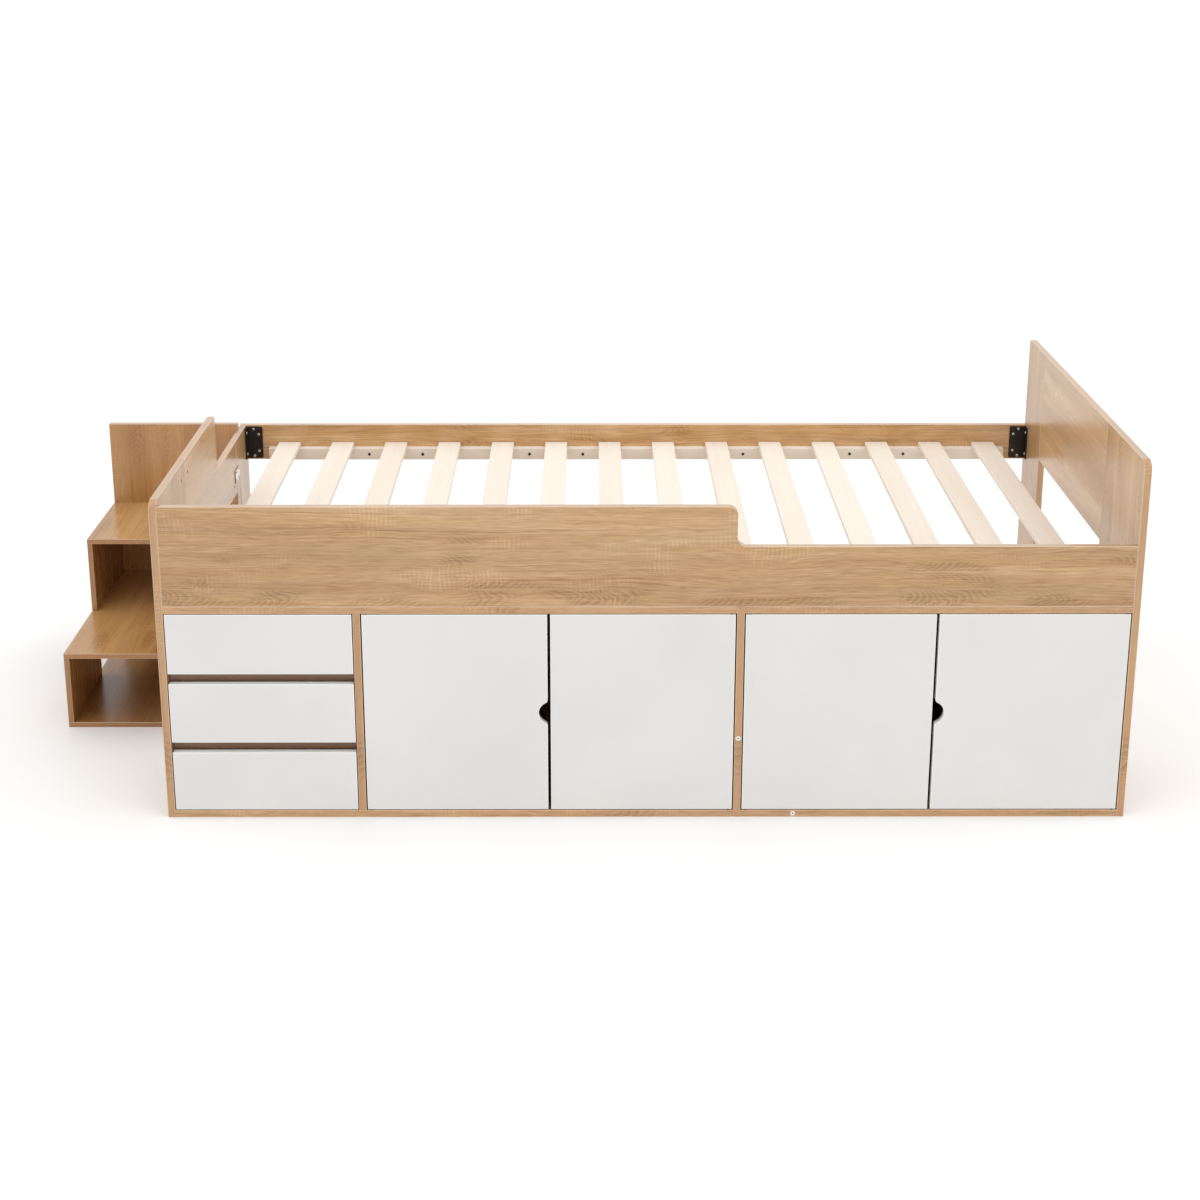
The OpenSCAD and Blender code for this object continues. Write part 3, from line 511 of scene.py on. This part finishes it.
STEPS_STAIN = (250, 237, 211)
STEPS_BAND = (225, 200, 155)
oak_upright = oak("oak_upright", "z", "y", fine=0.35)
oak_depth = oak("oak_depth", "y", "z", band=(255, 240, 216), light=0.03, fine=0.35)
# The front rail's top edge gets a painted highlight
oak_long = oak("oak_long", "x", "z", first=461.0, lively=0.19, top_edge_highlight=0.15)
oak_shelf = oak("oak_shelf", "x", "y", light=0.04)
oak_top = oak("oak_top", "x", "y", band=(246, 235, 220), light=0.03, shift=260.0)
# The steps' base is painted darker: painted shade of the cubbies' insides
oak_base = oak("oak_base", "y", "x", stain_and_shade=(214, 198, 175), shift=1500.0, fine=0.3)
# The treads are made paler: painted light falling on them
oak_tread = oak("oak_tread", "y", "x", stain_and_shade=STEPS_STAIN, band=STEPS_BAND, figure=1.1,
                shift=400.0, light=0.06, fine=0.4, first=-940.0, lively=0.19)
# The step sides are painted darker: painted shade of the cubbies' insides
oak_step = oak("oak_step", "z", "y", stain_and_shade=(222, 205, 176), band=(250, 236, 200), figure=0.5,
               shift=900.0, fine=0.5)
oak_back = oak("oak_back", "z", "x", stain_and_shade=(249, 233, 204), figure=0.6, shift=230.0,
               first=-1082.0, lively=0.16, fine=0.65)
# The back rail is made much paler: painted light on it
oak_far_rail_painted_light = oak("oak_far_rail_painted_light", "x", "z", stain_and_shade=(255, 250, 238), light=0.19, shift=700.0)
# The drawer rails are painted darker: painted shade, as they sit back in the gaps between the
# drawer fronts
oak_rail_painted_shade = oak("oak_rail_painted_shade", "x", "y", stain_and_shade=(150, 126, 98), figure=0.5)
white_front = coated_white("white_front", "y")
white_inside = coated_white("white_inside", "z")
slat_wood = pine("slat_wood", "y", "x", slat_start, slat_pitch)
strip_wood = pine("strip_wood", "x", "z", light=0.2)
zinc_plate = zinc("zinc_plate")
# A darker zinc for the recesses of the screw heads: painted shade
zinc_recess_shade = zinc("zinc_recess_shade", (138, 138, 137), (164, 164, 162))
black_steel = black_coat("black_steel")
cap_plastic = moulded("cap_plastic", (222, 221, 218), (230, 229, 226))
# A dark grey for the recesses of the caps: painted shade
plastic_recess_shade = moulded("plastic_recess_shade", (98, 102, 106), (114, 118, 122))
black_nylon = moulded("black_nylon", (30, 30, 31), (40, 40, 41))

LOOKS = {
    oak_upright: """foot_front_board foot_rear_leg head_front_board head_rear_leg drawer_divider
        centre_divider""",
    oak_step: "lower_step_side upper_step_side steps_inner_side",
    oak_depth: "foot_upper_board head_upper_board",
    oak_long: "front_rail back_panel_left back_panel_right",
    oak_far_rail_painted_light: "back_rail",
    oak_rail_painted_shade: "upper_drawer_rail lower_drawer_rail",
    oak_shelf: "bottom_board_left bottom_board_right",
    oak_top: "top_board_left top_board_right",
    oak_tread: "lower_tread upper_tread",
    oak_base: "steps_base",
    oak_back: "steps_back_board",
    white_front: "drawer_1_front drawer_2_front drawer_3_front door_1 door_2 door_3 door_4",
    white_inside: """drawer_1_box drawer_2_box drawer_3_box
        drawer_1_bottom drawer_2_bottom drawer_3_bottom""",
    slat_wood: "slats",
    strip_wood: "front_ledger back_ledger dowels",
    zinc_plate: """joining_plates connecting_screws drawer_runners drawer_1_runners
        drawer_2_runners drawer_3_runners door_1_fittings door_2_fittings door_3_fittings
        door_4_fittings""",
    black_steel: "front_corner_brackets back_corner_brackets",
    cap_plastic: "screw_caps magnet_catches",
    black_nylon: "pivot_bushes",
}
for material, names in LOOKS.items():
    for node in names.split():
        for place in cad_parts[node].material_slots:
            place.link = "OBJECT"
            place.material = material


# ---------------------------------------------------------------- rounded edges

ROUNDING = {
    oak_upright: 1.0, oak_depth: 1.0, oak_long: 1.0, oak_shelf: 1.0, oak_top: 1.0,
    oak_far_rail_painted_light: 0.8, oak_rail_painted_shade: 0.5, oak_tread: 0.8, oak_base: 0.8, oak_step: 0.6,
    oak_back: 0.8, white_inside: 0.5, slat_wood: 1.6,
}
# The curved finger cut-outs of the fronts have short edges, so more of their points merge
FRONT_ROUNDING, FRONT_MERGE = 1.2, 0.1
STRIP_AND_STEEL_ROUNDING = 0.4
ROUNDING_SEGMENTS = 2
FLAT_ANGLE = math.radians(0.5)
SHARP_ANGLE = math.radians(40)


def round_edges(node, width, merge=0.002):
    """Rounds the node's sharp edges by a width, after its loose triangles are merged into flat
    faces; all sizes in millimetres."""
    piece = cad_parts[node]
    weld = piece.modifiers.new("weld", "WELD")
    weld.merge_threshold = merge * MM
    flat = piece.modifiers.new("flat faces", "DECIMATE")
    flat.decimate_type = "DISSOLVE"
    flat.angle_limit = FLAT_ANGLE
    bevel = piece.modifiers.new("rounding", "BEVEL")
    bevel.width = width * MM
    bevel.segments = ROUNDING_SEGMENTS
    bevel.limit_method = "ANGLE"
    bevel.angle_limit = SHARP_ANGLE
    bevel.use_clamp_overlap = False
    bevel.loop_slide = False


for look, width in ROUNDING.items():
    for node in LOOKS[look].split():
        round_edges(node, width)
for node in LOOKS[white_front].split():
    round_edges(node, FRONT_ROUNDING, FRONT_MERGE)
for node in ("front_ledger", "back_ledger", "front_corner_brackets", "back_corner_brackets",
             "joining_plates"):
    round_edges(node, STRIP_AND_STEEL_ROUNDING)


# ---------------------------------------------------------------- forms of screws and caps

SCREW_SIDES = 24
CAP_SIDES = 32
# The recess faces take a darker material on the zinc screws and the caps: painted shade
RECESS_RINGS = 2            # the first bands of faces of a screw or cap are its recess
CROSS_PULL, CROSS_POWER = 0.6, 6

# How a form's own x, y and z lie in the bed, by the way its z axis faces
TURNS = {"+x": ((0, 1, 0), (0, 0, 1), (1, 0, 0)), "-x": ((0, 0, 1), (0, 1, 0), (-1, 0, 0)),
         "+y": ((0, 0, 1), (1, 0, 0), (0, 1, 0)), "-y": ((1, 0, 0), (0, 0, 1), (0, -1, 0))}

# The bed's own corner in the scene: foot end, front face, floor
BED_CORNER = (-818.0, -475.0, 0.0)


def turned(profile, sides):
    """A closed form turned about z. Each ring of the profile is a radius, a height and its arms:
    a ring's points lie at radius * (1 - pull * arms * (1 - |cos 2a|^power)), so a ring with arms
    is pulled in between the four arms of a cross. Both ends close on a point in the middle."""
    radius, height, arms = np.array(profile, float).T[:, :, None]
    angle = np.linspace(0, 2 * np.pi, sides, endpoint=False)
    pulled = radius * (1 - CROSS_PULL * arms * (1 - np.abs(np.cos(2 * angle)) ** CROSS_POWER))
    rings = np.stack([pulled * np.cos(angle), pulled * np.sin(angle), height + 0 * angle], -1)
    ends = [(0, 0, profile[0][1]), (0, 0, profile[-1][1])]
    points = np.concatenate([rings.reshape(-1, 3), ends])
    here = np.arange(len(profile) * sides).reshape(-1, sides)
    after = np.roll(here, -1, axis=1)
    walls = np.stack([here[:-1], here[1:], after[1:], after[:-1]], -1).reshape(-1, 4)
    top, bottom = len(points) - 2 + 0 * here[0], len(points) - 1 + 0 * here[0]
    fans = np.concatenate([np.stack([top, here[0], after[0]], -1),
                           np.stack([bottom, after[-1], here[-1]], -1)])
    return points, walls, fans


def pan_head(length):
    """Pan-head screw, its head standing on z = 0: cross recess, crowned head and plain shank."""
    return turned([
        (0.9, 0.75, 1), (1.6, 0.85, 1), (1.95, 1.9, 1), (2.3, 1.97, 0), (2.8, 1.85, 0),
        (3.2, 1.5, 0), (3.45, 1.0, 0), (3.5, 0.6, 0), (3.5, 0.15, 0), (3.38, 0, 0),
        (1.75, 0, 0), (1.75, 3 - length, 0), (0.3, -length, 0),
    ], SCREW_SIDES)


def push_in_cap(radius, depth):
    """Push-in cap with its face at z = 0: a small round recess, a flat face and a rounded rim."""
    return turned([
        (1.3, -1.05, 0), (1.6, -0.9, 0), (1.75, -0.15, 0), (1.95, 0, 0), (radius - 0.8, 0, 0),
        (radius - 0.35, -0.07, 0), (radius - 0.08, -0.25, 0), (radius, -0.5, 0),
        (radius, -depth, 0),
    ], CAP_SIDES)


def fit_all(name, form, places, material, recess_material):
    """One mesh with the form at every place: a point in the bed's own millimetres and the way its
    z axis faces, as an axis letter with its sign. The faces of the recess take the recess
    material, which on the zinc screws and the caps is a darker copy: painted shade in the recess."""
    points, walls, fans = form
    spots = np.array([spot for spot, way in places], float)
    frames = np.array([TURNS[way] for spot, way in places], float)
    placed = spots[:, None, :] + np.einsum("pi,nij->npj", points, frames)
    placed = (placed + BED_CORNER) * MM
    step = (np.arange(len(places)) * len(points))[:, None, None]
    faces = (walls + step).reshape(-1, 4).tolist() + (fans + step).reshape(-1, 3).tolist()
    mesh = bpy.data.meshes.new(name)
    mesh.from_pydata(placed.reshape(-1, 3).tolist(), [], faces)
    mesh.polygons.foreach_set("use_smooth", np.ones(len(faces), bool))
    mesh.set_sharp_from_angle(angle=SHARP_ANGLE)
    mesh.materials.append(material)
    mesh.materials.append(recess_material)
    sides = len(fans) // 2
    wall_in = np.arange(len(walls)) < RECESS_RINGS * sides
    fan_in = np.arange(len(fans)) < sides
    # The recess faces, which get the second material: painted shade on the zinc screws and caps
    inside = np.concatenate([np.tile(wall_in, len(places)), np.tile(fan_in, len(places))])
    mesh.polygons.foreach_set("material_index", inside.astype(np.int32))
    piece = bpy.data.objects.new(name, mesh)
    bpy.context.scene.collection.objects.link(piece)
    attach(piece, "bed_body")
    return piece


# ---------------------------------------------------------------- places of screws and caps

# Sizes of the part, and places in millimetres from the bed's own corner
BOARD, BED_LENGTH, BED_DEPTH, CABINET_HEIGHT = 15.0, 1950.0, 950.0, 461.0
FOOT_IN, HEAD_IN, BACK_IN = BOARD, BED_LENGTH - BOARD, BED_DEPTH - BOARD

# Corner brackets: the inner corner, the bracket's middle height, and the ways its legs point
BRACKETS = [(FOOT_IN, BOARD, 536, 1, 1), (FOOT_IN, BACK_IN, 505, 1, -1),
            (HEAD_IN, BOARD, 536, -1, 1), (HEAD_IN, BACK_IN, 505, -1, -1)]
BRACKET_HEIGHT, BRACKET_THICK = 80, 3
# Screws of a bracket's two legs: away from the corner, and up or down from the middle
RAIL_LEG_SCREWS = ((19, 34), (31, 21))
PANEL_LEG_SCREW = (11.5, BRACKET_HEIGHT / 3)

# Joining plates inside the foot end: middles (depth and height), and from there to the screws
JOINING_PLATES = ((260, 495), (796, 468))
PLATE_SCREW_DEEP, PLATE_SCREW_UP, PLATE_THICK = 14, 11, 2

STEP_BOARD, STEP_SCREW_DEEP, STEP_SCREW_HEIGHTS = 12, 836, (109, 288)

LEDGER_THICK, LEDGER_SCREW_HEIGHT = 20, 480
LEDGER_GAPS = (1, 2, 4, 5, 8, 10, 11)       # the gaps between slats that show a screw

# Caps over the connecting screws of both end panels, and three more: on the centre divider, on
# the right bottom board and inside the head end
CONNECTOR_DEEP = (60, 195)
CONNECTOR_HEIGHTS = (BOARD / 2, CABINET_HEIGHT - BOARD / 2)
DIVIDER_CAP = (1159.5, 0, 175)
BOTTOM_BOARD_CAP = (1274, 0, BOARD / 2)
HEAD_CAP = (HEAD_IN, 682, 699)

SHORT_SCREW, LEDGER_SCREW = 13, 30          # lengths under the head
CAP_RADIUS, CAP_DEPTH = 5.25, 1.2

SIGN = {1: "+", -1: "-"}
zinc_places = []
for corner_x, corner_y, middle, way_x, way_y in BRACKETS:
    for side in (-1, 1):
        for away, up in RAIL_LEG_SCREWS:
            zinc_places.append(((corner_x + way_x * away, corner_y + way_y * BRACKET_THICK,
                                 middle + side * up), SIGN[way_y] + "y"))
        away, up = PANEL_LEG_SCREW
        zinc_places.append(((corner_x + way_x * BRACKET_THICK, corner_y + way_y * away,
                             middle + side * up), SIGN[way_x] + "x"))
zinc_places += [((FOOT_IN + PLATE_THICK, y + side * PLATE_SCREW_DEEP, z + level * PLATE_SCREW_UP),
                 "+x") for y, z in JOINING_PLATES for side in (-1, 1) for level in (-1, 1)]
zinc_places += [((-STEP_BOARD, STEP_SCREW_DEEP, z), "-x") for z in STEP_SCREW_HEIGHTS]

ledger_places = []
for gap in LEDGER_GAPS:
    x = slat_low.x / MM - BED_CORNER[0] + gap * slat_pitch + (slat_pitch + SLAT_WIDTH) / 2
    ledger_places += [((x, BOARD + LEDGER_THICK, LEDGER_SCREW_HEIGHT), "+y"),
                      ((x, BACK_IN - LEDGER_THICK, LEDGER_SCREW_HEIGHT), "-y")]

cap_places = [((x, y, z), way) for x, way in ((0, "-x"), (BED_LENGTH, "+x"))
              for y in CONNECTOR_DEEP for z in CONNECTOR_HEIGHTS]
cap_places += [(DIVIDER_CAP, "-y"), (BOTTOM_BOARD_CAP, "-y"), (HEAD_CAP, "-x")]

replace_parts(fit_all("zinc_screws", pan_head(SHORT_SCREW), zinc_places, zinc_plate, zinc_recess_shade),
            "wood_screws")
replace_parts(fit_all("black_screws", pan_head(LEDGER_SCREW), ledger_places, black_steel,
                    black_steel), "ledger_screws")
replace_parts(fit_all("white_caps", push_in_cap(CAP_RADIUS, CAP_DEPTH), cap_places, cap_plastic,
                    plastic_recess_shade), "screw_caps")


# ---------------------------------------------------------------- floor, light and camera

# Lengths in metres, angles in degrees
FLOOR_HALF, FLOOR_LEVEL = 30.0, -0.0002
LIGHTS = (("left", -72, 0.155), ("right", 72, 0.175))       # side, turn and strength
LIGHT_TILT, LIGHT_SPREAD = 45, 60
WHITE = (1.0, 1.0, 1.0, 1.0)
CAMERA_PLACE = (0.040, -3.815, 1.866)
CAMERA_DOWN, CAMERA_TURN = 15.08, -0.11
CAMERA_LENS, CAMERA_SHIFT_X, CAMERA_SHIFT_Y = 54.51, 0.0067, -0.2

corners = [(x * FLOOR_HALF, y * FLOOR_HALF, FLOOR_LEVEL)
           for x, y in ((-1, -1), (1, -1), (1, 1), (-1, 1))]
floor_mesh = bpy.data.meshes.new("floor")
floor_mesh.from_pydata(corners, [], [(0, 1, 2, 3)])
floor_mesh.materials.append(matt_floor("floor_paint"))
floor = bpy.data.objects.new("floor", floor_mesh)
bpy.context.scene.collection.objects.link(floor)

for side, turn, strength in LIGHTS:
    light = bpy.data.lights.new("soft_light_" + side, "SUN")
    light.energy = strength * math.pi
    light.angle = math.radians(LIGHT_SPREAD)
    lamp = bpy.data.objects.new("soft_light_" + side, light)
    bpy.context.scene.collection.objects.link(lamp)
    lamp.rotation_euler = (math.radians(LIGHT_TILT), 0, math.radians(turn))

world = bpy.data.worlds.new("studio")
world.use_nodes = True
background = world.node_tree.nodes["Background"]
background.inputs["Color"].default_value = WHITE
background.inputs["Strength"].default_value = 1.0
bpy.context.scene.world = world
bpy.context.scene.view_settings.view_transform = "Standard"

camera_data = bpy.data.cameras.new("camera")
camera_data.lens = CAMERA_LENS
camera_data.shift_x = CAMERA_SHIFT_X
camera_data.shift_y = CAMERA_SHIFT_Y
camera = bpy.data.objects.new("camera", camera_data)
bpy.context.scene.collection.objects.link(camera)
camera.location = CAMERA_PLACE
camera.rotation_euler = (math.radians(90 - CAMERA_DOWN), 0, math.radians(CAMERA_TURN))
bpy.context.scene.camera = camera
